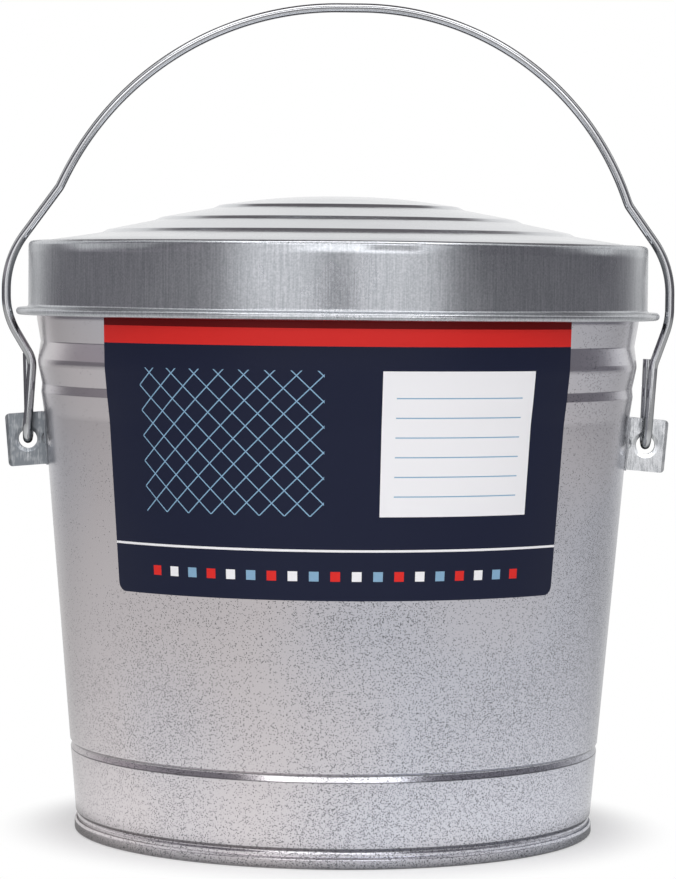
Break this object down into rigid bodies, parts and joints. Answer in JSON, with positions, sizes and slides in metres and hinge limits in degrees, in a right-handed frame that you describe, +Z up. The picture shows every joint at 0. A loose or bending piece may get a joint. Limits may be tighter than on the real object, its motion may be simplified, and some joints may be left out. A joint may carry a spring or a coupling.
{
  "type": "galvanized storage can",
  "caption": "Tapered galvanized sheet metal can with swaged rings, a stepped lift-off lid and a swinging wire bail that locks over the lid's rim.",
  "frame": {"origin": "centre of the foot ring, on the floor", "axes": "+Z up along the can's axis, +X through the right ear, -Y out of the label at the front"},
  "size_m": [0.368, 0.3524, 0.4524],
  "materials": {
    "galvanized_sheet": "satin galvanized sheet with fine spangle",
    "lid_sheet": "galvanized sheet with fine draw lines on the skirt",
    "zinc_wire": "bright zinc plated round wire",
    "ear_sheet": "galvanized sheet, rubbed and dull",
    "rivet_steel": "zinc plated",
    "label_paper": "satin printed paper"
  },
  "bodies": {
    "can": {"bottom_pan": "galvanized_sheet", "body_shell": "galvanized_sheet", "rim_wire": "zinc_wire", "ear_left": "ear_sheet", "ear_right": "ear_sheet", "ear_rivets": "rivet_steel", "label": "label_paper"},
    "lid": {"lid": "lid_sheet"},
    "bail": {"bail": "zinc_wire"}
  },
  "joints": [
    {"name": "bail_swing", "type": "hinge", "parent": "can", "child": "bail", "pos_m": [0, 0, 0.22179], "axis": [1, 0, 0], "range_deg": [-115, 115]},
    {"name": "lid_lift", "type": "slide", "parent": "can", "child": "lid", "axis": [0, 0, 1], "range_m": [0, 0.003]}
  ]
}
